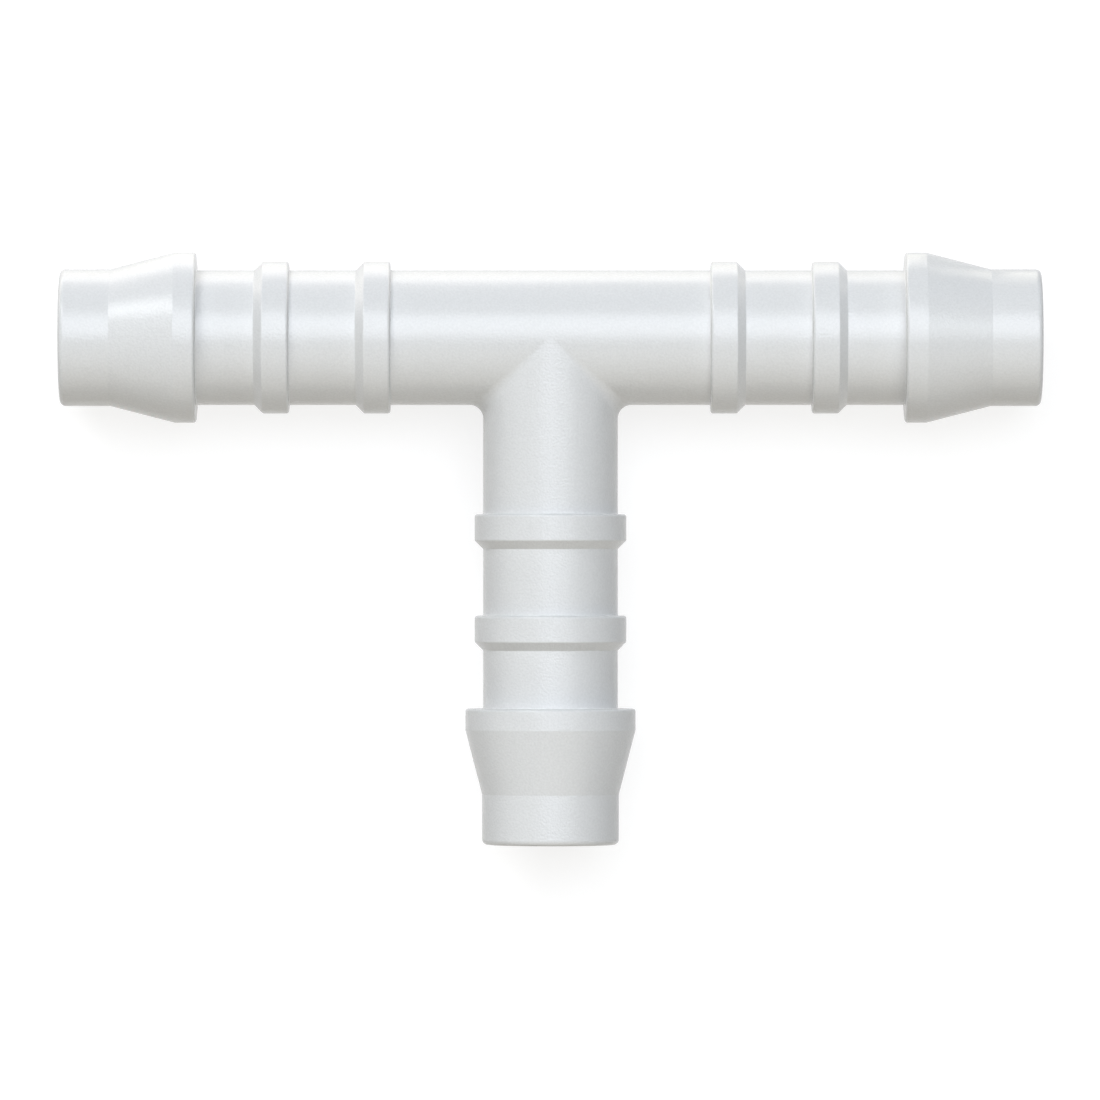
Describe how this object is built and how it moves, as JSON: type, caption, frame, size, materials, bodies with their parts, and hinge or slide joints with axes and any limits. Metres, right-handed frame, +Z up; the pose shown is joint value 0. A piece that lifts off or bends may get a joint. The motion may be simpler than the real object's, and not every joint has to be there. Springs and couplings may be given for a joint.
{
  "type": "hose barb tee",
  "caption": "Equal tee fitting with barbed legs that joins soft hoses of the same bore, moulded in one piece of white plastic.",
  "frame": {"origin": "where the axes of the run and the branch cross, in the middle of the passages", "axes": "+X along the run, -Y out along the branch, +Z up from the surface that the tee lies on; that surface is 6 mm below the origin"},
  "size_m": [0.0692, 0.0418, 0.012],
  "materials": {
    "white_acetal": "satin moulded white acetal with a fine even grain, plain and unmarked"
  },
  "bodies": {
    "root": {"tee_body": "white_acetal"}
  },
  "joints": []
}
